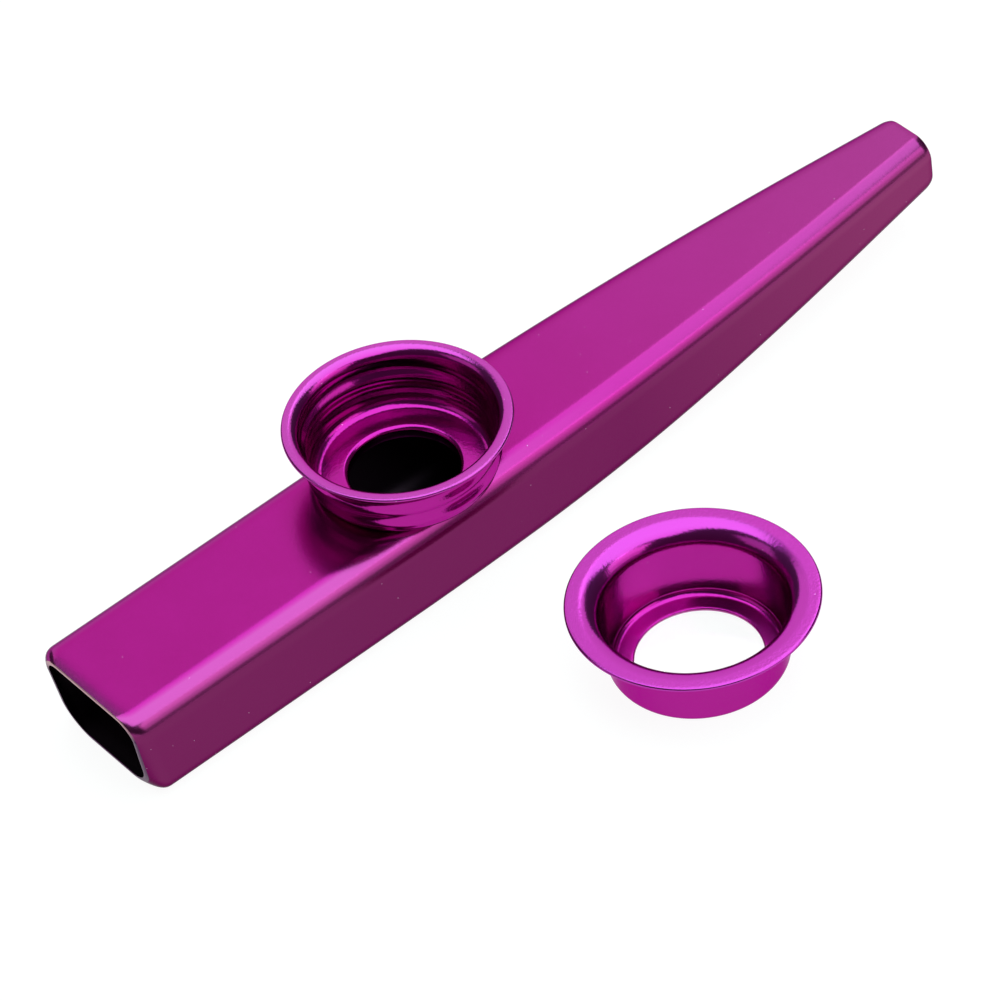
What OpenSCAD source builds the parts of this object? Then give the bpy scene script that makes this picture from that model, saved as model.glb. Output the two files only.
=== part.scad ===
// Kazoo: a tapered aluminium tube, a turret cup on its flat top, a push-in retaining cap that stands
// beside it, and the film that the cap holds.
// X runs from the open end to the mouthpiece end, Z is up, and the origin lies on the turret's axis in
// the plane that the tube and the cap stand on.

/* [Tube] */
// Length from the open end to the mouthpiece end
tube_l = 122; // [100:0.1:150]
// Outside width of the straight part
tube_w = 18.2; // [16:0.1:22]
// Outside height of the straight part
tube_h = 12.3; // [10.5:0.1:16]
// Outside radius of the two long corners along the top
tube_corner = 2.9; // [1.8:0.1:3.4]
// Outside radius of the two long corners along the belly
belly_corner = 2.3; // [1.4:0.05:3]
// Thickness of the tube's wall
tube_wall = 0.5; // [0.4:0.05:0.9]
// Distance from the open end to the turret's axis
turret_from_end = 46; // [35:0.5:55]

/* [Mouthpiece end] */
// Outside width at the mouthpiece end
mouth_w = 7.9; // [7.2:0.1:12]
// Outside height at the mouthpiece end
mouth_h = 7.9; // [6.8:0.1:10]
// Outside radius of the two top corners at the mouthpiece end
mouth_corner = 2.2; // [1.4:0.1:2.8]
// Outside radius of the two belly corners at the mouthpiece end
mouth_belly_corner = 3.2; // [1.6:0.1:3.4]
// Length over which the sides close in
side_taper_l = 81; // [60:0.5:84]
// Length of the soft bend at the start of the sides' taper
side_bend_l = 69; // [10:0.5:70]
// Length over which the belly rises
belly_taper_l = 66; // [50:0.5:72]
// Length of the soft bend at the start of the belly's rise
belly_bend_l = 34; // [10:0.5:48]
// How far the very edge of the mouthpiece end is turned in
mouth_turn_in = 0.3; // [0.1:0.05:0.5]

/* [Open end] */
// How far the top and the belly are turned in at the edge of the open end
lip_in = 0.2; // [0:0.05:1.2]
// How far the sides are turned in there
lip_side_in = 1.6; // [0.2:0.05:2]
// Length of the turned-in edge
lip_l = 1.6; // [1:0.1:3]
// Outside radius of the two top corners at the turned-in edge
lip_corner = 2.2; // [1.6:0.1:3.4]
// Outside radius of the two belly corners at the turned-in edge
lip_belly_corner = 4; // [2:0.1:4.4]
// How much further the top of the open end reaches than its bottom
end_slant = 2.2; // [0:0.1:2.4]
// How much further the near side of the open end reaches than its middle
end_turn = 0.4; // [0:0.05:0.8]
// Length of tube over which the slant and the turn fade out
slant_fade_l = 12; // [6:0.5:20]

/* [Neck of the cup] */
// Distance from the neck's flare to the tube's side walls, inside
flare_gap = 1.1; // [0.3:0.05:2]
// How far the flare reaches past the tube's hole
flare_w = 0.5; // [0.3:0.05:0.6]
// Clearance round the neck and above the flare
neck_clear = 0.05; // [0.02:0.01:0.15]
// Share of the tube's wall that the bend from the floor down into the neck takes as its radius
neck_bend_share = 0.6; // [0.4:0.05:0.6]
// Share of the tube's wall that the flare inside the tube takes as its radius
flare_share = 0.4; // [0.2:0.05:0.4]

/* [Turret cup] */
// Height of the cup's rim above the tube
cup_h = 7.6; // [6.2:0.1:10]
// Thickness of the cup's sheet
cup_sheet = 0.45; // [0.3:0.05:0.6]
// Width of the flat floor between the neck and the round corner of the wall
cup_floor_w = 1.75; // [0.8:0.05:2.5]
// Inside radius between the wall and the floor
cup_fillet = 1.5; // [1:0.1:2]
// How much wider the wall is under the rim than in its straight seat
cup_flare_w = 0.65; // [0.3:0.05:1]
// Height of that flared part of the wall
cup_flare_h = 2.05; // [1:0.05:2.5]
// Radius under the rim where it turns down into the wall
rim_under_r = 0.15; // [0.1:0.05:0.4]
// Width of the flat rim
rim_w = 1.35; // [1:0.05:3]

/* [Retaining cap] */
// Height of the cap
cap_h = 9.2; // [7.5:0.1:11]
// Thickness of the cap's sheet
cap_sheet = 0.45; // [0.3:0.05:0.6]
// Clearance between the cap's wall and the cup's straight seat
cap_clear = 0.1; // [0.05:0.01:0.25]
// Radius under the trumpet-shaped flange
bell_r = 2.65; // [2:0.05:3]
// Width of the flat part of the flange
cap_flange_w = 1.25; // [0.5:0.05:2.5]
// Inside radius between the cap's wall and its lip
cap_fillet = 0.9; // [0.5:0.1:1.4]
// Width of the flat lip round the cap's opening
cap_lip_w = 1.65; // [1:0.05:2.5]
// Where the cap stands beside the tube, along X
cap_x = 10; // [-20:0.5:30]
// Distance from the tube's side to the flange of the cap that stands beside it
cap_gap = 12.45; // [4:0.05:30]

/* [Film] */
// Thickness of the film
film_t = 0.1; // [0.05:0.01:0.2]
// Clearance between the film's edge and the round corner of the cap's lip
film_edge_clear = 0.15; // [0.05:0.05:0.4]
// Clearance between the film and the lip that it lies on
film_lift = 0.05; // [0.02:0.01:0.1]

/* [Hidden] */
$fn = 96;
anodised = [0.67, 0.14, 0.56];
anodised_bright = [0.76, 0.22, 0.68];
clear_film = [0.93, 0.95, 0.97, 0.35];

// Steps in each long corner, along the turned-in edge, along the taper and in each sheet bend
corner_steps = 8;
lip_steps = 5;
taper_steps = 22;
bend_steps = 10;
// Length of the turned-in mouthpiece edge and of the overrun of the cut for the neck
mouth_edge_l = 2 * mouth_turn_in;
cut_over = tube_wall;

// Slopes of the straight parts of the two tapers
function bend_run(u, bend) = u <= 0 ? 0 : u < bend ? u * u / (2 * bend) : u - bend / 2;
side_slope = (tube_w - mouth_w) / 2 / bend_run(side_taper_l, side_bend_l);
belly_slope = (tube_h - mouth_h) / bend_run(belly_taper_l, belly_bend_l);
taper_start = tube_l - max(side_taper_l, belly_taper_l);

// Half width and belly height at the distance u from the open end
function half_w(u) = tube_w / 2 - side_slope * bend_run(u - (tube_l - side_taper_l), side_bend_l);
function belly(u) = belly_slope * bend_run(u - (tube_l - belly_taper_l), belly_bend_l);

// How much of the open end's turn-in is left at u, from 1 at its edge to 0 past the turned-in length
function lip_share(u) = pow(max(0, 1 - u / lip_l), 2);
// The same for the turned-in edge of the mouthpiece end
function mouth_share(u) = pow(max(0, 1 - (tube_l - u) / mouth_edge_l), 2);

// How far the skin is drawn in at u, given how far it is turned in at the open end
function inset(u, lip) = lip * lip_share(u) + mouth_turn_in * mouth_share(u);

// Radius at u of a long corner, given its radius in the straight part and at the two ends
function corner(u, straight, lip, mouth) =
    straight + (lip - straight) * lip_share(u)
    + (mouth - straight) * max(0, u - taper_start) / (tube_l - taper_start);

// The open end isn't square: its bottom stands back from its top, and its far side from its near side
function skew(u, y, z) =
    (end_slant * (1 - z / tube_h) + end_turn * y / (tube_w / 2)) * max(0, 1 - u / slant_fade_l);

// Distances from the open end at which the tube's section is drawn
stations = concat(
    [for (i = [0 : lip_steps]) lip_l * i / lip_steps],
    [slant_fade_l],
    [for (i = [0 : taper_steps]) taper_start + (tube_l - mouth_edge_l - taper_start) * i / taper_steps],
    [tube_l - mouth_edge_l / 2, tube_l]
);

// One section of the tube as points, drawn in by the given depth of wall
function section(u, depth) =
    let (
        w = half_w(u) - inset(u, lip_side_in) - depth,
        top = tube_h - inset(u, lip_in) - depth,
        low = belly(u) + inset(u, lip_in) + depth,
        r = corner(u, tube_corner, lip_corner, mouth_corner) - depth,
        s = corner(u, belly_corner, lip_belly_corner, mouth_belly_corner) - depth,
        bends = [[w - r, top - r, r], [r - w, top - r, r], [s - w, low + s, s], [w - s, low + s, s]]
    )
    [for (k = [0 : 3], i = [0 : corner_steps])
        let (a = 90 * (k + i / corner_steps), b = bends[k], y = b[0] + b[2] * cos(a), z = b[1] + b[2] * sin(a))
        [u - turret_from_end + skew(u, y, z), y, z]];

// Radii of the neck's two bends, of its flare, of the tube's hole for it and of the neck itself
neck_under_r = neck_bend_share * tube_wall;
flare_r = flare_share * tube_wall;
flare_end_r = tube_w / 2 - tube_wall - flare_gap;
hole_r = flare_end_r - flare_w;
neck_out_r = hole_r - neck_clear - neck_under_r;
neck_r = neck_out_r - cup_sheet;

// How far the tube's round inner corners fall away at the edge of the flare
inner_corner = tube_corner - tube_wall;
inner_flat = tube_w / 2 - tube_corner;
corner_run = min(max(0, flare_end_r - inner_flat), inner_corner);
corner_drop = inner_corner - sqrt(pow(inner_corner, 2) - pow(corner_run, 2));

// Radii and heights of the cup, measured from the top of the tube
cup_seat_r = neck_out_r + neck_under_r + cup_floor_w + cup_fillet;
cup_top_r = cup_seat_r + cup_flare_w;
rim_r = cup_top_r + cup_sheet + rim_under_r + rim_w;
seat_low = cup_sheet + cup_fillet;
wall_top = cup_h - cup_sheet - rim_under_r;
seat_top = wall_top - cup_flare_h;
neck_low = -neck_under_r;
flare_top = -(tube_wall + corner_drop + neck_clear);

// Radii and heights of the cap, measured from the plane that it stands on
cap_r = cup_seat_r - cap_clear;
cap_in_r = cap_r - cap_sheet;
cap_hole_r = cap_in_r - cap_fillet - cap_lip_w;
cap_flange_r = cap_r + bell_r + cap_flange_w;
cap_y = -(tube_w / 2 + cap_gap + cap_flange_r);
cap_wall_low = cap_sheet + cap_fillet;
cap_wall_top = cap_h - cap_sheet - bell_r;
film_r = cap_in_r - cap_fillet - film_edge_clear;

// Points of an arc about a centre, from one angle to another
function arc(centre, r, from, to, steps = bend_steps) =
    [for (i = [0 : steps]) let (a = from + (to - from) * i / steps) centre + r * [cos(a), sin(a)]];

// A closed shell between an outer and an inner skin, each given ring by ring
module shell(outer, inner) {
    n = len(outer[0]);
    m = len(outer);
    function skin(base, flip) = [for (j = [0 : m - 2], i = [0 : n - 1])
        let (a = base + j * n + i, b = base + j * n + (i + 1) % n, c = b + n, d = a + n)
        each (flip ? [[a, b, c], [a, c, d]] : [[a, c, b], [a, d, c]])];
    function edge(j, flip) = [for (i = [0 : n - 1])
        let (a = j * n + i, b = j * n + (i + 1) % n, c = b + m * n, d = a + m * n)
        each (flip ? [[a, b, c], [a, c, d]] : [[a, c, b], [a, d, c]])];
    polyhedron(
        points = concat([for (ring = outer) each ring], [for (ring = inner) each ring]),
        faces = concat(skin(0, true), skin(m * n, false), edge(0, false), edge(m - 1, true))
    );
}

// The long tapered tube, with the hole under the turret
module body_tube() {
    color(anodised)
    difference() {
        shell([for (u = stations) section(u, 0)], [for (u = stations) section(u, tube_wall)]);
        translate([0, 0, tube_h / 2]) cylinder(r = hole_r, h = tube_h / 2 + cut_over);
    }
}

// The drawn cup: rim, flared wall, straight seat, floor, and the neck that is flared inside the tube
module turret_cup() {
    rim_bend = [cup_top_r + cup_sheet + rim_under_r, wall_top];
    foot_bend = [cup_seat_r - cup_fillet, seat_low];
    neck_bend = [neck_out_r + neck_under_r, neck_low];
    flare_bend = [neck_out_r + flare_r, flare_top + flare_r];
    color(anodised_bright)
    translate([0, 0, tube_h])
    rotate_extrude()
    polygon(concat(
        arc([rim_r - cup_sheet / 2, cup_h - cup_sheet / 2], cup_sheet / 2, -90, 90),
        arc(rim_bend, rim_under_r + cup_sheet, 90, 180),
        [[cup_seat_r, seat_top]],
        arc(foot_bend, cup_fillet, 0, -90),
        arc(neck_bend, neck_under_r + cup_sheet, 90, 180),
        arc(flare_bend, flare_r + cup_sheet, 180, 270),
        [[flare_end_r, flare_top - cup_sheet], [flare_end_r, flare_top]],
        arc(flare_bend, flare_r, 270, 180),
        arc(neck_bend, neck_under_r, 180, 90),
        arc(foot_bend, cup_fillet + cup_sheet, -90, 0),
        [[cup_seat_r + cup_sheet, seat_top]],
        arc(rim_bend, rim_under_r, 180, 90)
    ));
}

// The loose cap: trumpet-shaped flange, plain wall and inward lip
module retaining_cap() {
    bell = [cap_r + bell_r, cap_wall_top];
    foot = [cap_in_r - cap_fillet, cap_wall_low];
    color(anodised_bright)
    translate([cap_x, cap_y, 0])
    rotate_extrude()
    polygon(concat(
        [[cap_hole_r, 0]],
        arc(foot, cap_fillet + cap_sheet, -90, 0),
        arc(bell, bell_r, 180, 90),
        arc([cap_flange_r - cap_sheet / 2, cap_h - cap_sheet / 2], cap_sheet / 2, -90, 90),
        arc(bell, bell_r + cap_sheet, 90, 180),
        arc(foot, cap_fillet, 0, -90),
        [[cap_hole_r, cap_sheet]]
    ));
}

// The buzzing film, lying on the lip inside the cap
module membrane_film() {
    color(clear_film)
    translate([cap_x, cap_y, cap_sheet + film_lift])
    cylinder(r = film_r, h = film_t);
}

body_tube();
turret_cup();
retaining_cap();
membrane_film();
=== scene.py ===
"""Looks of a magenta anodised kazoo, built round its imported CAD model.

The tube, the turret cup, the retaining cap and the film are re-modelled with finer surfaces than the CAD
solids have, in the same places: X runs along the tube to its mouthpiece end, Z is up, and the origin lies on
the turret's axis in the plane that everything stands on. Sizes are millimetres in the classes and metres in
the scene.
"""

import logging
import math
from dataclasses import dataclass, field, replace
from enum import Enum
from typing import Any

import bmesh
import bpy
from mathutils import Matrix, Vector


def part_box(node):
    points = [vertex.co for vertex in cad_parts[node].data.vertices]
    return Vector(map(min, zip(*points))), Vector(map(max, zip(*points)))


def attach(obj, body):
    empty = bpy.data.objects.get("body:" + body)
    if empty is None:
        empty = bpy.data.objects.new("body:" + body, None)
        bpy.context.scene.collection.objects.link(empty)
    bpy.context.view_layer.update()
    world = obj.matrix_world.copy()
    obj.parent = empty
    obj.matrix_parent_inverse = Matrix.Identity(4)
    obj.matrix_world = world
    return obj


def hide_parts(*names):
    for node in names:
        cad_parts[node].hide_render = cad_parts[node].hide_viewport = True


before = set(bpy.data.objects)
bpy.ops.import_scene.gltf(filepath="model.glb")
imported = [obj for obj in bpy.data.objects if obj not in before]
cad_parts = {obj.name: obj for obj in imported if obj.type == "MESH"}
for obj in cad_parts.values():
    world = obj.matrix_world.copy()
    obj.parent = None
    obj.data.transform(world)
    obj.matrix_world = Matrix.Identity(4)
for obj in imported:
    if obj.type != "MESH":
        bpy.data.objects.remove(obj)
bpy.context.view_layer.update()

MM = 0.001
LOG = logging.getLogger("kazoo")
Point = tuple[float, float]

# The Mix node's colour sockets
MIX_A, MIX_B, MIX_RESULT = 6, 7, 2


class Slot(Enum):
    """The record's material slots."""

    BODY = "anodised_body"
    TRIM = "anodised_trim"
    FILM = "clear_film"


class Body(Enum):
    """The moving bodies of the record."""

    KAZOO = "kazoo"
    CAP = "cap"
    MEMBRANE = "membrane"


# Shared helpers


def linear(hex_colour: str) -> tuple[float, float, float, float]:
    """Turns an sRGB hex colour into linear RGBA.

    Args:
        hex_colour: Six hex digits after a hash sign.

    Returns:
        Linear red, green and blue, and an alpha of 1.
    """
    channels = [int(hex_colour[i : i + 2], 16) / 255 for i in (1, 3, 5)]
    red, green, blue = (c / 12.92 if c <= 0.04045 else ((c + 0.055) / 1.055) ** 2.4 for c in channels)
    return red, green, blue, 1.0


def add_node(
    tree: bpy.types.NodeTree, kind: str, inputs: dict[str | int, Any] | None = None, **settings: Any
) -> bpy.types.Node:
    """Adds a node to a tree.

    Args:
        tree: The tree that gets the node.
        kind: The node's type name.
        inputs: Input name or number, to its value or to the output socket that feeds it.
        **settings: The node's own settings.

    Returns:
        The new node.
    """
    node = tree.nodes.new(kind)
    for name, setting in settings.items():
        setattr(node, name, setting)
    for key, given in (inputs or {}).items():
        if isinstance(given, bpy.types.NodeSocket):
            tree.links.new(given, node.inputs[key])
        else:
            node.inputs[key].default_value = given
    return node


def new_material(name: str) -> tuple[bpy.types.Material, bpy.types.NodeTree]:
    """Makes a material with an empty node tree.

    Args:
        name: The material's name.

    Returns:
        The material and its node tree.
    """
    material = bpy.data.materials.new(name)
    material.use_nodes = True
    material.node_tree.nodes.clear()
    return material, material.node_tree


def new_object(name: str, mesh: bpy.types.Mesh) -> bpy.types.Object:
    """Makes an object in the scene.

    Args:
        name: The object's name.
        mesh: The mesh that it shows.

    Returns:
        The object.
    """
    obj = bpy.data.objects.new(name, mesh)
    bpy.context.scene.collection.objects.link(obj)
    return obj


def evaluated_mesh(obj: bpy.types.Object) -> bpy.types.Mesh:
    """A plain mesh of an object with its modifiers applied."""
    bpy.context.view_layer.update()
    return bpy.data.meshes.new_from_object(obj.evaluated_get(bpy.context.evaluated_depsgraph_get()))


def arc(
    centre: Point, radius: float, start: float, end: float, steps: int = 12, wider: float = 0.0
) -> list[Point]:
    """Points of an arc, round or drawn out sideways.

    Args:
        centre: The arc's centre.
        radius: Its radius.
        start: Its first angle in degrees.
        end: Its last angle in degrees.
        steps: How many chords it has.
        wider: What its sideways radius has more than its upright one.

    Returns:
        The points from the first angle to the last.
    """
    angles = [math.radians(start + (end - start) * i / steps) for i in range(steps + 1)]
    return [(centre[0] + (radius + wider) * math.cos(a), centre[1] + radius * math.sin(a)) for a in angles]


def densified(outline: list[Point], longest: float) -> list[Point]:
    """Splits the long stretches of a closed outline, so that smooth shading stays true on them.

    Args:
        outline: The outline's corners.
        longest: The longest stretch that stays whole.

    Returns:
        The outline with points added on its long stretches.
    """
    points: list[Point] = []
    for (ax, ay), (bx, by) in zip(outline, outline[1:] + outline[:1]):
        parts = max(1, math.ceil(math.hypot(bx - ax, by - ay) / longest))
        points += [(ax + (bx - ax) * i / parts, ay + (by - ay) * i / parts) for i in range(parts)]
    return points


def finished(obj: bpy.types.Object, body: Body, node: str) -> bpy.types.Object:
    """Puts a finished piece on its body and hides the CAD node that it stands for.

    Args:
        obj: The piece, with its place in its mesh.
        body: The body that it rides on.
        node: The CAD node that it replaces.

    Returns:
        The piece.
    """
    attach(obj, body.value)
    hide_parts(node)
    low, high = ([round(c / MM, 1) for c in corner] for corner in mesh_box(obj))
    LOG.info("%s: %d faces, from %s to %s mm", obj.name, len(obj.data.polygons), low, high)
    return obj


def mesh_box(obj: bpy.types.Object) -> tuple[Vector, Vector]:
    """Measures an object's own mesh.

    Args:
        obj: The object.

    Returns:
        The lowest and the highest corner of the mesh's box.
    """
    places = [v.co for v in obj.data.vertices]
    low = Vector(min(p[i] for p in places) for i in range(3))
    high = Vector(max(p[i] for p in places) for i in range(3))
    return low, high


# Finishes


@dataclass(frozen=True)
class Fade:
    """A slow change of the colour along an axis of the object; on the tube some fades are painted highlight,
    shade and reflection.

    Where whole_at_mm and gone_at_mm differ, the change itself is whole at the one place along X and gone at
    the other.
    """

    axis: str
    from_mm: float
    to_mm: float
    hex_colour: str
    whole_at_mm: float = 0.0
    gone_at_mm: float = 0.0


@dataclass(frozen=True)
class AnodisedAluminium:
    """Drawn aluminium sheet, etched, dyed magenta and sealed: a coloured metal gloss with a fine grain.

    The dye layer's depth varies a little, the stretched sheet has a fine orange peel, and dust and tiny pits
    catch the light.
    """

    name: str
    deep_hex: str
    pale_hex: str
    edge_hex: str
    roughness: float
    peel_mm: float
    peel_height_mm: float
    wave_mm: float
    wave_height_mm: float
    coat: float = 0.0
    fades: tuple[Fade, ...] = ()
    dye_patch_mm: float = 9.0
    speck_gap_mm: float = 1.9
    speck_mm: float = 0.06
    speck_hex: str = "#F4D3EE"
    speck_share: float = 0.7
    speck_core: float = 0.5
    gloss_spread: float = 0.1
    coat_roughness: float = 0.1
    seed: float = 0.0

    def build(self) -> bpy.types.Material:
        """Makes the material.

        Returns:
            The material, on Object coordinates.
        """
        material, tree = new_material(self.name)
        place = add_node(tree, "ShaderNodeTexCoord").outputs["Object"]
        start = (self.seed, self.seed, self.seed)
        spot = add_node(tree, "ShaderNodeMapping", {"Vector": place, "Location": start}).outputs["Vector"]
        # The dye takes deeper in some patches than in others
        patches = add_node(
            tree, "ShaderNodeTexNoise", {"Vector": spot, "Scale": 1 / (self.dye_patch_mm * MM), "Detail": 3.0}
        ).outputs["Fac"]
        shade = add_node(
            tree,
            "ShaderNodeMix",
            {"Factor": patches, MIX_A: linear(self.deep_hex), MIX_B: linear(self.pale_hex)},
            data_type="RGBA",
        ).outputs[MIX_RESULT]
        # The colour shifts along the axes; on the tube some shifts are painted light: a painted highlight on
        # the long top corners, painted shade on the sides, and painted reflection towards the mouthpiece end
        axes = add_node(tree, "ShaderNodeSeparateXYZ", {"Vector": place}).outputs
        for fade in self.fades:
            share = add_node(
                tree,
                "ShaderNodeMapRange",
                {"Value": axes[fade.axis], "From Min": fade.from_mm * MM, "From Max": fade.to_mm * MM},
            ).outputs["Result"]
            if fade.gone_at_mm != fade.whole_at_mm:
                stay = add_node(
                    tree,
                    "ShaderNodeMapRange",
                    {"Value": axes["X"], "From Min": fade.gone_at_mm * MM, "From Max": fade.whole_at_mm * MM},
                ).outputs["Result"]
                share = add_node(
                    tree, "ShaderNodeMath", {0: share, 1: stay}, operation="MULTIPLY"
                ).outputs[0]
            shade = add_node(
                tree,
                "ShaderNodeMix",
                {"Factor": share, MIX_A: shade, MIX_B: linear(fade.hex_colour)},
                data_type="RGBA",
            ).outputs[MIX_RESULT]
        # Slow waves that drawing and bending leave, and the fine orange peel of the stretched sheet
        waves = add_node(
            tree, "ShaderNodeTexNoise", {"Vector": spot, "Scale": 1 / (self.wave_mm * MM), "Detail": 1.0}
        ).outputs["Fac"]
        wavy = add_node(
            tree, "ShaderNodeBump", {"Height": waves, "Strength": 1.0, "Distance": self.wave_height_mm * MM}
        ).outputs["Normal"]
        peel = add_node(
            tree,
            "ShaderNodeTexNoise",
            {"Vector": spot, "Scale": 1 / (self.peel_mm * MM), "Detail": 2.0, "Roughness": 0.6},
        ).outputs["Fac"]
        grainy = add_node(
            tree,
            "ShaderNodeBump",
            {"Height": peel, "Normal": wavy, "Strength": 1.0, "Distance": self.peel_height_mm * MM},
        ).outputs["Normal"]
        # Dust and pits: the middles of the cells
        cells = add_node(
            tree, "ShaderNodeTexVoronoi", {"Vector": spot, "Scale": 1 / (self.speck_gap_mm * MM)}
        ).outputs["Distance"]
        share = self.speck_mm / self.speck_gap_mm
        near = add_node(
            tree,
            "ShaderNodeMapRange",
            {
                "Value": cells,
                "From Min": share,
                "From Max": share * self.speck_core,
                "To Max": self.speck_share,
            },
        ).outputs["Result"]
        speckled = add_node(
            tree,
            "ShaderNodeMix",
            {"Factor": near, MIX_A: shade, MIX_B: linear(self.speck_hex)},
            data_type="RGBA",
        ).outputs[MIX_RESULT]
        gloss = add_node(
            tree,
            "ShaderNodeMapRange",
            {
                "Value": patches,
                "To Min": self.roughness * (1 - self.gloss_spread),
                "To Max": self.roughness * (1 + self.gloss_spread),
            },
        ).outputs["Result"]
        surface = add_node(
            tree,
            "ShaderNodeBsdfPrincipled",
            {
                "Base Color": speckled,
                "Metallic": 1.0,
                "Roughness": gloss,
                "Specular Tint": linear(self.edge_hex),
                "Coat Weight": self.coat,
                "Coat Roughness": self.coat_roughness,
                "Normal": grainy,
            },
        )
        add_node(tree, "ShaderNodeOutputMaterial", {"Surface": surface.outputs["BSDF"]})
        return material


@dataclass(frozen=True)
class CutAluminium:
    """The sheared edge of the sheet: pale metal along the top, turning dark purple lower down."""

    name: str = "cut_aluminium_edge"
    bright_hex: str = "#D8B4B0"
    dull_hex: str = "#9A5A7C"
    dark_low_hex: str = "#4A1448"
    line_mm: float = 0.12
    line_height_mm: float = 0.004
    roughness: float = 0.4
    bright_low_mm: float = 9.8
    bright_high_mm: float = 11.8

    def build(self) -> bpy.types.Material:
        """Makes the material.

        Returns:
            The material, on Object coordinates.
        """
        material, tree = new_material(self.name)
        place = add_node(tree, "ShaderNodeTexCoord").outputs["Object"]
        lines = add_node(
            tree, "ShaderNodeTexNoise", {"Vector": place, "Scale": 1 / (self.line_mm * MM), "Detail": 2.0}
        ).outputs["Fac"]
        shade = add_node(
            tree,
            "ShaderNodeMix",
            {"Factor": lines, MIX_A: linear(self.bright_hex), MIX_B: linear(self.dull_hex)},
            data_type="RGBA",
        ).outputs[MIX_RESULT]
        # Pale towards the top of the edge and dark purple lower down
        level = add_node(tree, "ShaderNodeSeparateXYZ", {"Vector": place}).outputs["Z"]
        span = {"From Min": self.bright_low_mm * MM, "From Max": self.bright_high_mm * MM}
        bright_share = add_node(tree, "ShaderNodeMapRange", {"Value": level, **span}).outputs["Result"]
        shade = add_node(
            tree,
            "ShaderNodeMix",
            {"Factor": bright_share, MIX_A: linear(self.dark_low_hex), MIX_B: shade},
            data_type="RGBA",
        ).outputs[MIX_RESULT]
        rough = add_node(
            tree, "ShaderNodeBump", {"Height": lines, "Strength": 1.0, "Distance": self.line_height_mm * MM}
        ).outputs["Normal"]
        surface = add_node(
            tree,
            "ShaderNodeBsdfPrincipled",
            {"Base Color": shade, "Metallic": 1.0, "Roughness": self.roughness, "Normal": rough},
        )
        add_node(tree, "ShaderNodeOutputMaterial", {"Surface": surface.outputs["BSDF"]})
        return material


@dataclass(frozen=True)
class ClearFilm:
    """Thin blown polyethylene film: almost invisible, with a weak sheen and slow ripples."""

    name: str = "clear_polyethylene_film"
    hex_colour: str = "#FAFBFD"
    alpha: float = 0.06
    roughness: float = 0.08
    ior: float = 1.5
    ripple_mm: float = 3.0
    ripple_height_mm: float = 0.03

    def build(self) -> bpy.types.Material:
        """Makes the material.

        Returns:
            The material, on Object coordinates.
        """
        material, tree = new_material(self.name)
        place = add_node(tree, "ShaderNodeTexCoord").outputs["Object"]
        ripples = add_node(
            tree, "ShaderNodeTexNoise", {"Vector": place, "Scale": 1 / (self.ripple_mm * MM), "Detail": 1.0}
        ).outputs["Fac"]
        rippled = add_node(
            tree,
            "ShaderNodeBump",
            {"Height": ripples, "Strength": 1.0, "Distance": self.ripple_height_mm * MM},
        ).outputs["Normal"]
        surface = add_node(
            tree,
            "ShaderNodeBsdfPrincipled",
            {
                "Base Color": linear(self.hex_colour),
                "Roughness": self.roughness,
                "IOR": self.ior,
                "Transmission Weight": 1.0,
                "Alpha": self.alpha,
                "Normal": rippled,
            },
        )
        add_node(tree, "ShaderNodeOutputMaterial", {"Surface": surface.outputs["BSDF"]})
        return material


BODY_FINISH = AnodisedAluminium(
    name="satin_anodised_aluminium_with_painted_light",
    deep_hex="#9C197B",
    pale_hex="#A31C84",
    edge_hex="#A8A0A8",
    roughness=0.22,
    peel_mm=0.3,
    peel_height_mm=0.007,
    wave_mm=7.0,
    wave_height_mm=0.03,
    coat=0.05,
    fades=(
        # Greyer towards the mouthpiece end: partly painted reflection of the white table
        Fade("X", 10.0, 76.0, "#9A3582"),
        # Painted highlight: paler long top corners, where the ceiling softbox's highlight lies, fading out
        # past the turret
        Fade("Z", 12.28, 12.12, "#A43C8B", whole_at_mm=-15.0, gone_at_mm=25.0),
        # Painted shade: darker sides below the long top corners
        Fade("Z", 11.6, 10.4, "#76245A"),
        # Painted reflection: the sides turn paler towards the mouthpiece end, where they reflect more of the
        # white table
        Fade("Z", 11.6, 10.4, "#8E3A6C", whole_at_mm=70.0, gone_at_mm=25.0),
    ),
)
CUP_FINISH = AnodisedAluminium(
    name="bright_anodised_aluminium",
    deep_hex="#A61A88",
    pale_hex="#AE1D92",
    edge_hex="#D8A8D0",
    roughness=0.17,
    peel_mm=0.34,
    peel_height_mm=0.014,
    wave_mm=4.0,
    wave_height_mm=0.01,
    coat=0.1,
    fades=(Fade("Z", 19.4, 20.4, "#BC58BB"),),
    seed=0.37,
)
CAP_FINISH = replace(
    CUP_FINISH, name="bright_anodised_aluminium_cap", fades=(Fade("Z", 7.9, 8.9, "#B238A7"),), seed=0.53
)
# The tube's inner skin: a dull greyish mauve, much darker than the outside; the darkness is painted shade
# inside the tube
INSIDE_PAINTED_SHADE_FINISH = AnodisedAluminium(
    name="dull_anodised_inside_painted_shade",
    deep_hex="#4A3A48",
    pale_hex="#54404F",
    edge_hex="#8A6A80",
    roughness=0.5,
    peel_mm=0.3,
    peel_height_mm=0.004,
    wave_mm=5.0,
    wave_height_mm=0.02,
    seed=0.71,
)


# The tube


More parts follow.
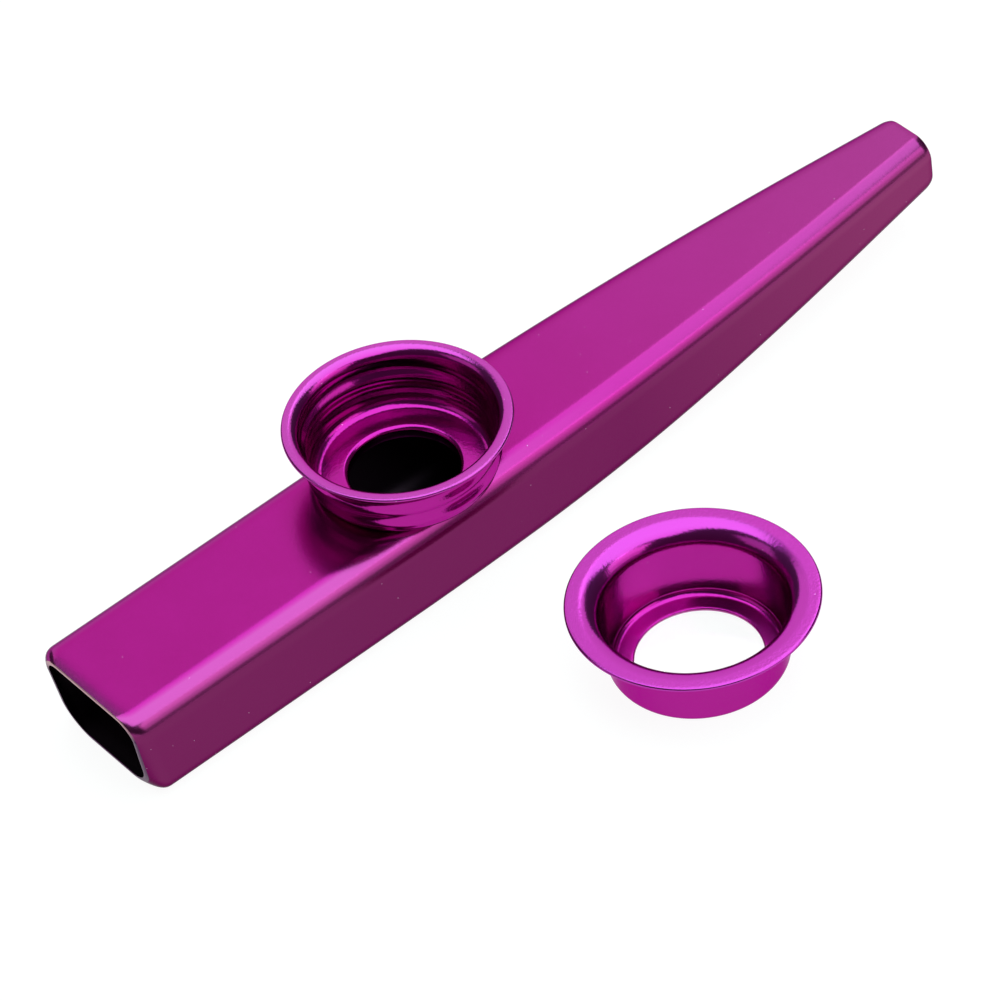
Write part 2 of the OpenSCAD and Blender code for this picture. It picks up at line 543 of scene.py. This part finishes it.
@dataclass
class BodyTube:
    """The tapered tube with its turned-in ends, sheared edges and the hole under the turret."""

    low: Vector
    high: Vector
    hole_r: float = 7.0
    wall: float = 0.5
    top_corner: float = 2.95
    belly_corner: float = 2.3
    mouth_w: float = 7.9
    mouth_h: float = 7.9
    mouth_corner: float = 2.4
    mouth_belly_corner: float = 3.2
    side_taper_l: float = 81.0
    side_bend_l: float = 69.0
    belly_taper_l: float = 66.0
    belly_bend_l: float = 34.0
    mouth_turn_in: float = 0.14
    mouth_roll_l: float = 1.0
    lip_in: float = 0.2
    lip_side_in: float = 1.6
    lip_near_top_in: float = 0.8
    lip_l: float = 2.4
    lip_ease: int = 3
    mouth_ease: int = 2
    lip_corner: float = 2.6
    lip_belly_corner: float = 4.0
    end_slant: float = 2.2
    end_turn: float = 0.4
    slant_fade_l: float = 12.0
    turret_from_end: float = 46.0
    edge_r: float = 0.12
    edge_steps: int = 4
    corner_steps: int = 16
    flat_steps: int = 10
    lip_rings: int = 14
    lip_ring_spread: float = 1.3
    long_rings: int = 130
    mouth_rings: int = 10
    hole_segments: int = 96
    sharp_from: float = 50.0

    def __post_init__(self) -> None:
        """Takes the outside sizes from the CAD box."""
        self.width = (self.high.y - self.low.y) / MM
        self.height = (self.high.z - self.low.z) / MM
        self.length = self.high.x / MM + self.turret_from_end

    def lip_share(self, u: float) -> float:
        """How far the rolled-in open end has got at u: 1 at its edge, and 0 in the straight part."""
        return max(0.0, 1 - u / self.lip_l) ** self.lip_ease

    @staticmethod
    def bend_run(run: float, bend: float) -> float:
        """How far a taper that starts with a soft bend has got.

        Args:
            run: Distance from the taper's start.
            bend: Length of its soft bend.

        Returns:
            The run in which a taper without the bend gets as far.
        """
        if run <= 0:
            return 0.0
        return run * run / (2 * bend) if run < bend else run - bend / 2

    def half_w(self, u: float) -> float:
        """Half the tube's width at the distance u from its open end."""
        slope = (self.width - self.mouth_w) / 2 / self.bend_run(self.side_taper_l, self.side_bend_l)
        return self.width / 2 - slope * self.bend_run(u - self.length + self.side_taper_l, self.side_bend_l)

    def belly(self, u: float) -> float:
        """Height of the tube's underside at the distance u from its open end."""
        slope = (self.height - self.mouth_h) / self.bend_run(self.belly_taper_l, self.belly_bend_l)
        return slope * self.bend_run(u - self.length + self.belly_taper_l, self.belly_bend_l)

    def section(self, u: float, depth: float) -> list[Vector]:
        """One loop of the tube.

        Args:
            u: Distance from the open end.
            depth: Depth into the wall.

        Returns:
            Points round the tube, in metres, counter-clockwise seen from the mouthpiece end.
        """
        lip = self.lip_share(u)
        mouth = max(0.0, 1 - (self.length - u) / self.mouth_roll_l) ** self.mouth_ease
        inset = self.lip_in * lip + self.mouth_turn_in * mouth + depth
        wide = self.half_w(u) - self.mouth_turn_in * mouth - depth
        half, near_top = wide - self.lip_side_in * lip, wide - self.lip_near_top_in * lip
        top, bottom = self.height - inset, self.belly(u) + inset
        upper = self.corner(u, self.top_corner, self.lip_corner, self.mouth_corner) - depth
        lower = self.corner(u, self.belly_corner, self.lip_belly_corner, self.mouth_belly_corner) - depth
        bends = [
            (half - upper, top - upper, upper),
            (upper - near_top, top - upper, upper),
            (lower - half, bottom + lower, lower),
            (half - lower, bottom + lower, lower),
        ]
        outline: list[Point] = []
        shares = [0.5 - 0.5 * math.cos(math.pi * i / self.flat_steps) for i in range(1, self.flat_steps)]
        for k, (y, z, r) in enumerate(bends):
            bend = arc((y, z), r, 90 * k, 90 * (k + 1), self.corner_steps)
            next_y, next_z, next_r = bends[(k + 1) % len(bends)]
            ahead = arc((next_y, next_z), next_r, 90 * (k + 1), 90 * (k + 1), 1)[0]
            flat = [tuple(a + (b - a) * share for a, b in zip(bend[-1], ahead)) for share in shares]
            outline += bend + flat
        fade = max(0.0, 1 - u / self.slant_fade_l)
        along = u - self.turret_from_end
        return [Vector((along + fade * self.skew(y, z), y, z)) * MM for y, z in outline]

    def corner(self, u: float, straight: float, lip: float, mouth: float) -> float:
        """Radius of one of the tube's long corners.

        Args:
            u: Distance from the open end.
            straight: The corner's radius in the straight part.
            lip: Its radius at the open end.
            mouth: Its radius at the mouthpiece end.

        Returns:
            The radius at that distance.
        """
        taper_l = max(self.side_taper_l, self.belly_taper_l)
        tapered = max(0.0, u - self.length + taper_l) / taper_l
        return straight + (lip - straight) * self.lip_share(u) + (mouth - straight) * tapered

    def skew(self, y: float, z: float) -> float:
        """How far the open end stands back at a place on it, as its cut isn't square."""
        return self.end_slant * (1 - z / self.height) + self.end_turn * y / (self.width / 2)

    def stations(self) -> list[float]:
        """Places the loops of the two skins.

        Returns:
            Their distances from the open end.
        """
        long_end = self.length - self.mouth_roll_l
        spans = self.lip_l - self.edge_r, long_end - self.lip_l, self.mouth_roll_l - self.edge_r
        shares = [(i / self.lip_rings) ** self.lip_ring_spread for i in range(self.lip_rings + 1)]
        lip = [self.edge_r + spans[0] * share for share in shares]
        long = [self.lip_l + spans[1] * i / self.long_rings for i in range(1, self.long_rings + 1)]
        mouth = [long_end + spans[2] * i / self.mouth_rings for i in range(1, self.mouth_rings + 1)]
        return lip + long + mouth

    def loops(self) -> tuple[list[list[Vector]], list[bool]]:
        """All loops of the tube's closed wall.

        Returns:
            The loops in order, and for each whether the band after it is a sheared edge.
        """
        r = self.edge_r
        along = self.stations()
        bends = [math.radians(90 * i / self.edge_steps) for i in range(1, self.edge_steps)]
        loops, cut = [], []
        for u in reversed(along):
            loops.append(self.section(u, 0.0))
            cut.append(False)
        cut[-1] = True
        open_edge = [(r - r * math.sin(a), r - r * math.cos(a)) for a in bends]
        open_edge += [(0.0, r), (0.0, self.wall / 2), (0.0, self.wall - r)]
        open_edge += [(r - r * math.cos(a), self.wall - r + r * math.sin(a)) for a in bends]
        for u, depth in open_edge:
            loops.append(self.section(u, depth))
            cut.append(True)
        for u in along:
            loops.append(self.section(u, self.wall))
            cut.append(False)
        cut[-1] = True
        for u, depth in reversed(open_edge):
            loops.append(self.section(self.length - u, depth))
            cut.append(True)
        return loops, cut

    def build(
        self, outside: bpy.types.Material, inside: bpy.types.Material, edge: bpy.types.Material
    ) -> None:
        """Builds and dresses the tube.

        Args:
            outside: Finish of the outer skin.
            inside: Finish of the inner skin.
            edge: Finish of the sheared edges.
        """
        slots = [outside, inside, edge]
        loops, cut = self.loops()
        around = len(loops[0])
        shell = bmesh.new()
        rings = [[shell.verts.new(p) for p in loop] for loop in loops]
        outer_count = len(self.stations())
        for j, (ring, after) in enumerate(zip(rings, rings[1:] + rings[:1])):
            for i in range(around):
                k = (i + 1) % around
                face = shell.faces.new((ring[i], ring[k], after[k], after[i]))
                face.smooth = True
                face.material_index = slots.index(edge if cut[j] else inside if j >= outer_count else outside)
        bmesh.ops.recalc_face_normals(shell, faces=shell.faces)
        mesh = bpy.data.meshes.new("body_tube_skin")
        shell.to_mesh(mesh)
        shell.free()
        tube = new_object("body_tube_skin", mesh)
        for material in slots:
            mesh.materials.append(material)
        self.cut_hole(tube)
        finished(tube, Body.KAZOO, "body_tube")

    def cut_hole(self, tube: bpy.types.Object) -> None:
        """Cuts the round hole for the turret's neck through the tube's top.

        Args:
            tube: The tube, which gets the drilled mesh.
        """
        radius, height = self.hole_r * MM, self.height * MM
        drill = bmesh.new()
        bmesh.ops.create_cone(
            drill,
            cap_ends=True,
            segments=self.hole_segments,
            radius1=radius,
            radius2=radius,
            depth=height,
        )
        bmesh.ops.translate(drill, vec=Vector((0, 0, height)), verts=drill.verts)
        mesh = bpy.data.meshes.new("drill")
        drill.to_mesh(mesh)
        drill.free()
        tool = new_object("drill", mesh)
        cut = tube.modifiers.new("hole", "BOOLEAN")
        cut.operation, cut.solver, cut.object = "DIFFERENCE", "EXACT", tool
        drilled = evaluated_mesh(tube)
        tube.modifiers.remove(cut)
        tube.data = drilled
        drilled.name = "body_tube_skin"
        bpy.data.objects.remove(tool)
        drilled.set_sharp_from_angle(angle=math.radians(self.sharp_from))


# Spun sheet pieces


@dataclass
class SpunSheet:
    """A sheet piece, spun round an upright axis by Geometry Nodes, with a rolled thread if it has one."""

    name: str
    axis: Vector
    outline: list[Point]
    thread_depth: float = 0.0
    thread_pitch: float = 2.4
    thread_low: float = 0.0
    thread_high: float = 1.0
    thread_fade: float = 1.0
    thread_turn: float = 0.0
    segments: int = 240
    longest: float = 0.35
    merge: float = 0.001
    inputs: dict[str, str] = field(default_factory=dict)

    def tree(self) -> bpy.types.GeometryNodeTree:
        """Makes the tree that spins an outline round its axis and rolls the thread into the wall.

        Returns:
            The tree, with named inputs for its sizes.
        """
        tree = bpy.data.node_groups.new("spin_sheet_with_rolled_thread", "GeometryNodeTree")
        face = tree.interface
        face.new_socket("Geometry", in_out="OUTPUT", socket_type="NodeSocketGeometry")
        kinds = {
            "Outline": "NodeSocketGeometry",
            "Segments": "NodeSocketInt",
            "Axis": "NodeSocketVector",
            "Thread Depth": "NodeSocketFloat",
            "Thread Pitch": "NodeSocketFloat",
            "Thread Low": "NodeSocketFloat",
            "Thread High": "NodeSocketFloat",
            "Thread Fade": "NodeSocketFloat",
            "Thread Turn": "NodeSocketFloat",
            "Finish": "NodeSocketMaterial",
        }
        for name, kind in kinds.items():
            socket = face.new_socket(name, in_out="INPUT", socket_type=kind)
            self.inputs[name] = socket.identifier
        given = add_node(tree, "NodeGroupInput").outputs
        # A grid with a row for each point of the outline and a column for each segment, closed both ways
        points = add_node(
            tree, "GeometryNodeAttributeDomainSize", {"Geometry": given["Outline"]}, component="MESH"
        ).outputs["Point Count"]
        columns = add_node(tree, "ShaderNodeMath", {0: given["Segments"], 1: 1.0}, operation="ADD").outputs[0]
        rows = add_node(tree, "ShaderNodeMath", {0: points, 1: 1.0}, operation="ADD").outputs[0]
        grid = add_node(
            tree,
            "GeometryNodeMeshGrid",
            {"Size X": 1.0, "Size Y": 1.0, "Vertices X": columns, "Vertices Y": rows},
        ).outputs["Mesh"]
        place = add_node(tree, "GeometryNodeInputPosition").outputs["Position"]
        spot = add_node(tree, "ShaderNodeSeparateXYZ", {"Vector": place}).outputs
        turn = add_node(
            tree,
            "ShaderNodeMapRange",
            {"Value": spot["X"], "From Min": -0.5, "From Max": 0.5, "To Min": 0.0, "To Max": 2 * math.pi},
        ).outputs["Result"]
        row = add_node(
            tree,
            "ShaderNodeMapRange",
            {"Value": spot["Y"], "From Min": -0.5, "From Max": 0.5, "To Min": 0.0, "To Max": points},
        ).outputs["Result"]
        row = add_node(tree, "ShaderNodeMath", {0: row}, operation="ROUND").outputs[0]
        index = add_node(tree, "ShaderNodeMath", {0: row, 1: points}, operation="MODULO").outputs[0]
        source = add_node(
            tree,
            "GeometryNodeSampleIndex",
            {"Geometry": given["Outline"], "Value": place, "Index": index},
            data_type="FLOAT_VECTOR",
            domain="POINT",
        ).outputs["Value"]
        flat = add_node(tree, "ShaderNodeSeparateXYZ", {"Vector": source}).outputs
        # The rolled thread: a wave that bulges the wall outwards, climbs as it turns and fades at both ends
        climb = add_node(
            tree,
            "ShaderNodeMapRange",
            {"Value": flat["Z"], "From Max": given["Thread Pitch"], "To Max": 2 * math.pi},
            clamp=False,
        ).outputs["Result"]
        lag = add_node(tree, "ShaderNodeMath", {0: turn, 1: given["Thread Turn"]}, operation="ADD").outputs[0]
        phase = add_node(tree, "ShaderNodeMath", {0: climb, 1: lag}, operation="SUBTRACT").outputs[0]
        wave = add_node(tree, "ShaderNodeMath", {0: phase}, operation="COSINE").outputs[0]
        low_end = add_node(
            tree, "ShaderNodeMath", {0: given["Thread Low"], 1: given["Thread Fade"]}, operation="ADD"
        ).outputs[0]
        rise = add_node(
            tree,
            "ShaderNodeMapRange",
            {"Value": flat["Z"], "From Min": given["Thread Low"], "From Max": low_end},
            interpolation_type="SMOOTHSTEP",
        ).outputs["Result"]
        high_end = add_node(
            tree, "ShaderNodeMath", {0: given["Thread High"], 1: given["Thread Fade"]}, operation="SUBTRACT"
        ).outputs[0]
        fall = add_node(
            tree,
            "ShaderNodeMapRange",
            {"Value": flat["Z"], "From Min": given["Thread High"], "From Max": high_end},
            interpolation_type="SMOOTHSTEP",
        ).outputs["Result"]
        bulge = add_node(
            tree,
            "ShaderNodeMapRange",
            {"Value": wave, "From Min": -1.0, "From Max": 1.0, "To Max": given["Thread Depth"]},
        ).outputs["Result"]
        bulge = add_node(tree, "ShaderNodeMath", {0: bulge, 1: rise}, operation="MULTIPLY").outputs[0]
        radius = add_node(
            tree, "ShaderNodeMath", {0: bulge, 1: fall, 2: flat["X"]}, operation="MULTIPLY_ADD"
        ).outputs[0]
        # Each point of the grid goes to its place round the axis
        reach = add_node(tree, "ShaderNodeCombineXYZ", {"X": radius, "Z": flat["Z"]}).outputs["Vector"]
        turned = add_node(
            tree, "ShaderNodeVectorRotate", {"Vector": reach, "Angle": turn}, rotation_type="Z_AXIS"
        ).outputs["Vector"]
        moved = add_node(
            tree, "ShaderNodeVectorMath", {0: turned, 1: given["Axis"]}, operation="ADD"
        ).outputs["Vector"]
        spun = add_node(
            tree, "GeometryNodeSetPosition", {"Geometry": grid, "Position": moved}
        ).outputs["Geometry"]
        closed = add_node(
            tree, "GeometryNodeMergeByDistance", {"Geometry": spun, "Distance": self.merge * MM}
        ).outputs["Geometry"]
        smooth = add_node(tree, "GeometryNodeSetShadeSmooth", {"Geometry": closed}).outputs["Geometry"]
        real = add_node(tree, "GeometryNodeRealizeInstances", {"Geometry": smooth}).outputs["Geometry"]
        dressed = add_node(
            tree, "GeometryNodeSetMaterial", {"Geometry": real, "Material": given["Finish"]}
        ).outputs["Geometry"]
        add_node(tree, "NodeGroupOutput", {"Geometry": dressed})
        return tree

    def build(self, finish: bpy.types.Material) -> bpy.types.Object:
        """Spins the piece.

        Args:
            finish: Its material.

        Returns:
            The piece as a plain mesh, with its place in its vertices.
        """
        points = densified(self.outline, self.longest)
        mesh = bpy.data.meshes.new(self.name)
        ring = [(i, (i + 1) % len(points)) for i in range(len(points))]
        mesh.from_pydata([(r * MM, 0.0, z * MM) for r, z in points], ring, [])
        obj = new_object(self.name, mesh)
        spin = obj.modifiers.new("spin", "NODES")
        spin.node_group = self.tree()
        sizes = {
            "Segments": self.segments,
            "Axis": tuple(self.axis),
            "Thread Depth": self.thread_depth * MM,
            "Thread Pitch": self.thread_pitch * MM,
            "Thread Low": self.thread_low * MM,
            "Thread High": self.thread_high * MM,
            "Thread Fade": self.thread_fade * MM,
            "Thread Turn": self.thread_turn,
            "Finish": finish,
        }
        for name, size in sizes.items():
            spin[self.inputs[name]] = size
        spun = evaluated_mesh(obj)
        obj.modifiers.remove(spin)
        obj.data = spun
        shell = bmesh.new()
        shell.from_mesh(spun)
        bmesh.ops.recalc_face_normals(shell, faces=shell.faces)
        shell.to_mesh(spun)
        shell.free()
        return obj


@dataclass
class TurretCup:
    """The cup on the tube: flat rim, flared wall with a rolled thread, seat, floor and flared neck."""

    low: Vector
    high: Vector
    tube_top: float
    sheet: float = 0.45
    fillet: float = 1.15
    seat_r: float = 10.2
    top_r: float = 10.85
    flare_h: float = 1.6
    rim_under_r: float = 0.85
    neck_r: float = 6.2
    neck_under_r: float = 0.1
    neck_flare_r: float = 0.2
    neck_flare_end: float = 7.5
    thread_depth: float = 0.35
    thread_pitch: float = 2.4
    thread_low_share: float = 0.6
    thread_fade: float = 1.2
    thread_turn: float = 10.0
    bend_steps: int = 16
    foot_steps: int = 18

    def outline(self) -> list[Point]:
        """The cup's section.

        Returns:
            Its points, measured from the cup's axis and from the top of the tube.
        """
        rim_r, height = self.high.x / MM, self.high.z / MM - self.tube_top
        flare_low = self.low.z / MM - self.tube_top
        wall_top = height - self.sheet - self.rim_under_r
        seat_top, seat_low = wall_top - self.flare_h, self.sheet + self.fillet
        rim_bend = (self.top_r + self.sheet + self.rim_under_r, wall_top)
        foot_bend = (self.seat_r - self.fillet, seat_low)
        neck_bend = (self.neck_r + self.sheet + self.neck_under_r, -self.neck_under_r)
        flare_r = self.neck_flare_r
        flare_bend = (self.neck_r + self.sheet + flare_r, flare_low + self.sheet + flare_r)
        half = self.sheet / 2
        return (
            arc((rim_r - half, height - half), half, -90, 90)
            + arc(rim_bend, self.rim_under_r + self.sheet, 90, 180, self.bend_steps)
            + [(self.seat_r, seat_top)]
            + arc(foot_bend, self.fillet, 0, -90, self.foot_steps)
            + arc(neck_bend, self.neck_under_r + self.sheet, 90, 180, self.bend_steps)
            + arc(flare_bend, flare_r + self.sheet, 180, 270)
            + arc((self.neck_flare_end - half, flare_low + half), half, -90, 90)
            + arc(flare_bend, flare_r, 270, 180)
            + arc(neck_bend, self.neck_under_r, 180, 90)
            + arc(foot_bend, self.fillet + self.sheet, -90, 0, self.foot_steps)
            + [(self.seat_r + self.sheet, seat_top)]
            + arc(rim_bend, self.rim_under_r, 180, 90)
        )

    def build(self, finish: bpy.types.Material) -> None:
        """Spins and dresses the cup.

        Args:
            finish: Its material.
        """
        height = self.high.z / MM - self.tube_top
        cup = SpunSheet(
            name="turret_cup_threaded",
            axis=Vector((0, 0, self.tube_top * MM)),
            outline=self.outline(),
            thread_depth=self.thread_depth,
            thread_pitch=self.thread_pitch,
            thread_low=self.sheet + self.fillet * self.thread_low_share,
            thread_high=height - self.sheet,
            thread_fade=self.thread_fade,
            thread_turn=math.radians(self.thread_turn),
        ).build(finish)
        finished(cup, Body.KAZOO, "turret_cup")


@dataclass
class RetainingCap:
    """The loose cap: trumpet-shaped flange, plain wall and inward lip."""

    low: Vector
    high: Vector
    sheet: float = 0.45
    wall_r: float = 10.1
    wall_draft: float = 0.4
    bell_r: float = 1.9
    bell_wider: float = 0.2
    fillet: float = 0.9
    hole_r: float = 7.1
    bell_steps: int = 24
    foot_steps: int = 16

    @property
    def axis(self) -> Vector:
        """The cap's axis in the plane that it stands on."""
        return Vector(((self.low.x + self.high.x) / 2, (self.low.y + self.high.y) / 2, 0))

    def outline(self) -> list[Point]:
        """The cap's section.

        Returns:
            Its points, measured from the cap's axis and from the plane that it stands on.
        """
        flange_r, height = (self.high.x - self.low.x) / 2 / MM, self.high.z / MM
        half = self.sheet / 2
        inner_r = self.wall_r - self.sheet
        wall_top_r = self.wall_r + self.wall_draft
        bell = (wall_top_r + self.bell_r + self.bell_wider, height - self.sheet - self.bell_r)
        foot = (inner_r - self.fillet, self.sheet + self.fillet)
        return (
            arc((self.hole_r + half, half), half, 90, 270)
            + arc(foot, self.fillet + self.sheet, -90, 0, self.foot_steps)
            + arc(bell, self.bell_r, 180, 90, self.bell_steps, self.bell_wider)
            + arc((flange_r - half, height - half), half, -90, 90)
            + arc(bell, self.bell_r + self.sheet, 90, 180, self.bell_steps, self.bell_wider)
            + arc(foot, self.fillet, 0, -90, self.foot_steps)
        )

    def build(self, finish: bpy.types.Material) -> None:
        """Spins and dresses the cap."""
        cap = SpunSheet(name="retaining_cap_spun", axis=self.axis, outline=self.outline()).build(finish)
        finished(cap, Body.CAP, "retaining_cap")


@dataclass
class MembraneFilm:
    """The buzzing film: a thin disc with slow ripples, lying on the cap's lip."""

    low: Vector
    high: Vector
    rings: int = 24
    segments: int = 96
    ripple_share: float = 0.3
    ripple_waves: Point = (5.0, 4.0)
    ripple_starts: Point = (1.3, -0.6)
    sharp_from: float = 40.0

    def build(self, finish: bpy.types.Material) -> None:
        """Builds and dresses the film, rippled within the space that its CAD solid holds.

        Args:
            finish: Its material.
        """
        middle = (self.low + self.high) / 2
        radius, thickness = (self.high.x - self.low.x) / 2, self.high.z - self.low.z
        sheet = thickness * (1 - self.ripple_share)
        disc = bmesh.new()
        skins = []
        for side in (-1, 1):
            z = middle.z + self.level(0, 0, radius, thickness) + side * sheet / 2
            centre = disc.verts.new((middle.x, middle.y, z))
            rows = []
            for i in range(1, self.rings + 1):
                reach = radius * i / self.rings
                row = []
                for k in range(self.segments):
                    turn = 2 * math.pi * k / self.segments
                    x, y = reach * math.cos(turn), reach * math.sin(turn)
                    z = middle.z + self.level(x, y, radius, thickness) + side * sheet / 2
                    row.append(disc.verts.new((middle.x + x, middle.y + y, z)))
                rows.append(row)
            skins.append((centre, rows))
        for centre, rows in skins:
            for k in range(self.segments):
                after = (k + 1) % self.segments
                disc.faces.new((centre, rows[0][k], rows[0][after]))
                for inner, outer in zip(rows, rows[1:]):
                    disc.faces.new((inner[k], outer[k], outer[after], inner[after]))
        under, over = skins[0][1][-1], skins[1][1][-1]
        for k in range(self.segments):
            after = (k + 1) % self.segments
            disc.faces.new((under[k], under[after], over[after], over[k]))
        bmesh.ops.recalc_face_normals(disc, faces=disc.faces)
        for face in disc.faces:
            face.smooth = True
        mesh = bpy.data.meshes.new("membrane_film_sheet")
        disc.to_mesh(mesh)
        disc.free()
        mesh.set_sharp_from_angle(angle=math.radians(self.sharp_from))
        mesh.materials.append(finish)
        film = new_object("membrane_film_sheet", mesh)
        finished(film, Body.MEMBRANE, "membrane_film")

    def level(self, x: float, y: float, radius: float, thickness: float) -> float:
        """Height of the ripples at a place on the film.

        Args:
            x: Distance from the film's middle along X, in metres.
            y: Distance from it along Y.
            radius: The film's radius.
            thickness: The thickness of the space that the film has.

        Returns:
            The height over the middle of that space, in metres.
        """
        (waves_x, waves_y), (start_x, start_y) = self.ripple_waves, self.ripple_starts
        wave = math.sin(waves_x * x / radius + start_x) * math.cos(waves_y * y / radius + start_y)
        return 0.5 * self.ripple_share * thickness * wave


# Studio


@dataclass(frozen=True)
class Softbox:
    """An oblong softbox, aimed at the object or hung level over it. Its distance and sides are metres."""

    name: str
    heading: float
    elevation: float
    distance: float
    width: float
    height: float
    radiance: float
    hex_colour: str = "#FFFFFF"
    level: bool = False

    def build(self, target: Vector) -> None:
        """Hangs the softbox.

        Args:
            target: The point that it faces.
        """
        lamp = bpy.data.lights.new(self.name, "AREA")
        lamp.shape, lamp.size, lamp.size_y = "RECTANGLE", self.width, self.height
        lamp.energy = self.radiance * math.pi * self.width * self.height
        lamp.color = linear(self.hex_colour)[:3]
        h, e = math.radians(self.heading), math.radians(self.elevation)
        towards = Vector((math.cos(h) * math.cos(e), math.sin(h) * math.cos(e), math.sin(e)))
        sideways = Vector((-math.sin(h), math.cos(h), 0))
        across = towards.cross(sideways).normalized()
        obj = bpy.data.objects.new(self.name, lamp)
        turned = Matrix((across.cross(towards), across, towards)).transposed().to_4x4()
        if self.level:
            turned = Matrix.Identity(4)
        obj.matrix_world = Matrix.Translation(target + towards * self.distance) @ turned
        obj.visible_camera = False
        bpy.context.scene.collection.objects.link(obj)


SIDE_BOX = Softbox(
    "side_high_softbox", heading=-58, elevation=36, distance=2.0, width=1.6, height=0.56, radiance=1.75
)


@dataclass
class Studio:
    """White table, softboxes and the camera at the photograph's place. The table's side is in metres."""

    camera_heading: float = 54.03
    camera_elevation: float = 43.47
    camera_roll: float = -7.95
    camera_distance: float = 874.0
    look_at: tuple[float, float, float] = (5.34, -9.54, 10.0)
    focal_px: float = 8000.0
    picture_px: float = 1001.0
    sensor_mm: float = 36.0
    clip_m: tuple[float, float] = (0.01, 20.0)
    room_level: float = 0.09
    table_size: float = 6.0
    table_gap: float = 0.02
    table_hex: str = "#E6E6E6"
    table_shade: float = 0.12
    table_glow: float = 0.93
    boxes: tuple[Softbox, ...] = (
        Softbox("back_softbox", heading=54, elevation=25, distance=2.5, width=2.6, height=2.3, radiance=1.1),
        Softbox(
            "ceiling_softbox",
            heading=-26.57,
            elevation=75.4,
            distance=1.55,
            width=1.9,
            height=2.35,
            radiance=2.5,
            hex_colour="#E2FFF8",
            level=True,
        ),
        SIDE_BOX,
        replace(SIDE_BOX, name="side_mid_softbox", elevation=21, height=0.48, radiance=1.25),
        replace(SIDE_BOX, name="side_low_softbox", elevation=8, height=0.42, radiance=0.35),
        Softbox("left_softbox", heading=150, elevation=35, distance=2.0, width=1.2, height=1.0, radiance=0.6),
    )

    def build(self) -> None:
        """Builds the table, the room's light, the softboxes and the camera."""
        self.build_table()
        self.build_room()
        target = Vector(self.look_at) * MM
        for box in self.boxes:
            box.build(target)
        self.build_camera()
        bpy.context.scene.view_settings.view_transform = "Standard"

    def build_table(self) -> None:
        """Builds the white table, which is white in reflections too and keeps the object's shadow."""
        half = self.table_size / 2
        mesh = bpy.data.meshes.new("table")
        corners = [(-half, -half, 0), (half, -half, 0), (half, half, 0), (-half, half, 0)]
        mesh.from_pydata(corners, [], [(0, 1, 2, 3)])
        table = new_object("table", mesh)
        table.location.z = -self.table_gap * MM
        material, tree = new_material("white_card")
        lit = add_node(tree, "ShaderNodeBsdfDiffuse", {"Color": linear(self.table_hex)}).outputs[0]
        shade = (self.table_shade, self.table_shade, self.table_shade, 1.0)
        faint = add_node(tree, "ShaderNodeBsdfDiffuse", {"Color": shade}).outputs[0]
        glow = add_node(tree, "ShaderNodeEmission", {"Strength": self.table_glow}).outputs[0]
        white = add_node(tree, "ShaderNodeAddShader", {0: faint, 1: glow}).outputs[0]
        ray = add_node(tree, "ShaderNodeLightPath").outputs
        seen = add_node(
            tree, "ShaderNodeMath", {0: ray["Is Camera Ray"], 1: ray["Is Glossy Ray"]}, operation="MAXIMUM"
        ).outputs[0]
        seen = add_node(
            tree, "ShaderNodeMath", {0: seen, 1: ray["Is Transmission Ray"]}, operation="MAXIMUM"
        ).outputs[0]
        both = add_node(tree, "ShaderNodeMixShader", {0: seen, 1: lit, 2: white}).outputs[0]
        add_node(tree, "ShaderNodeOutputMaterial", {"Surface": both})
        mesh.materials.append(material)

    def build_room(self) -> None:
        """Sets the world: a dim, plain studio room."""
        world = bpy.data.worlds.new("studio_room")
        world.use_nodes = True
        tree = world.node_tree
        tree.nodes.clear()
        white = linear("#FFFFFF")
        dim = add_node(tree, "ShaderNodeBackground", {"Color": white, "Strength": self.room_level})
        add_node(tree, "ShaderNodeOutputWorld", {"Surface": dim.outputs[0]})
        bpy.context.scene.world = world

    def build_camera(self) -> None:
        """Places the camera where the photograph was taken from."""
        h, e, roll = (
            math.radians(a) for a in (self.camera_heading, self.camera_elevation, self.camera_roll)
        )
        ahead = Vector((math.cos(h) * math.cos(e), math.sin(h) * math.cos(e), -math.sin(e)))
        right = Vector((math.sin(h), -math.cos(h), 0))
        up = right.cross(ahead)
        turned_right = right * math.cos(roll) + up * math.sin(roll)
        turned_up = up * math.cos(roll) - right * math.sin(roll)
        lens = bpy.data.cameras.new("camera")
        lens.sensor_width = self.sensor_mm
        lens.lens = self.focal_px / self.picture_px * self.sensor_mm
        lens.clip_start, lens.clip_end = self.clip_m
        camera = bpy.data.objects.new("camera", lens)
        place = (Vector(self.look_at) - ahead * self.camera_distance) * MM
        camera.matrix_world = Matrix.Translation(place) @ Matrix(
            (turned_right, turned_up, -ahead)
        ).transposed().to_4x4()
        bpy.context.scene.collection.objects.link(camera)
        bpy.context.scene.camera = camera


def main() -> None:
    """Builds every piece and the studio."""
    logging.basicConfig(level=logging.INFO, format="%(name)s: %(message)s")
    outside, inside = BODY_FINISH.build(), INSIDE_PAINTED_SHADE_FINISH.build()
    edge, clear = CutAluminium().build(), ClearFilm().build()
    tube_low, tube_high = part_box("body_tube")
    BodyTube(tube_low, tube_high).build(outside, inside, edge)
    TurretCup(*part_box("turret_cup"), tube_top=tube_high.z / MM).build(CUP_FINISH.build())
    RetainingCap(*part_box("retaining_cap")).build(CAP_FINISH.build())
    MembraneFilm(*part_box("membrane_film")).build(clear)
    Studio().build()


if __name__ == "__main__":
    main()
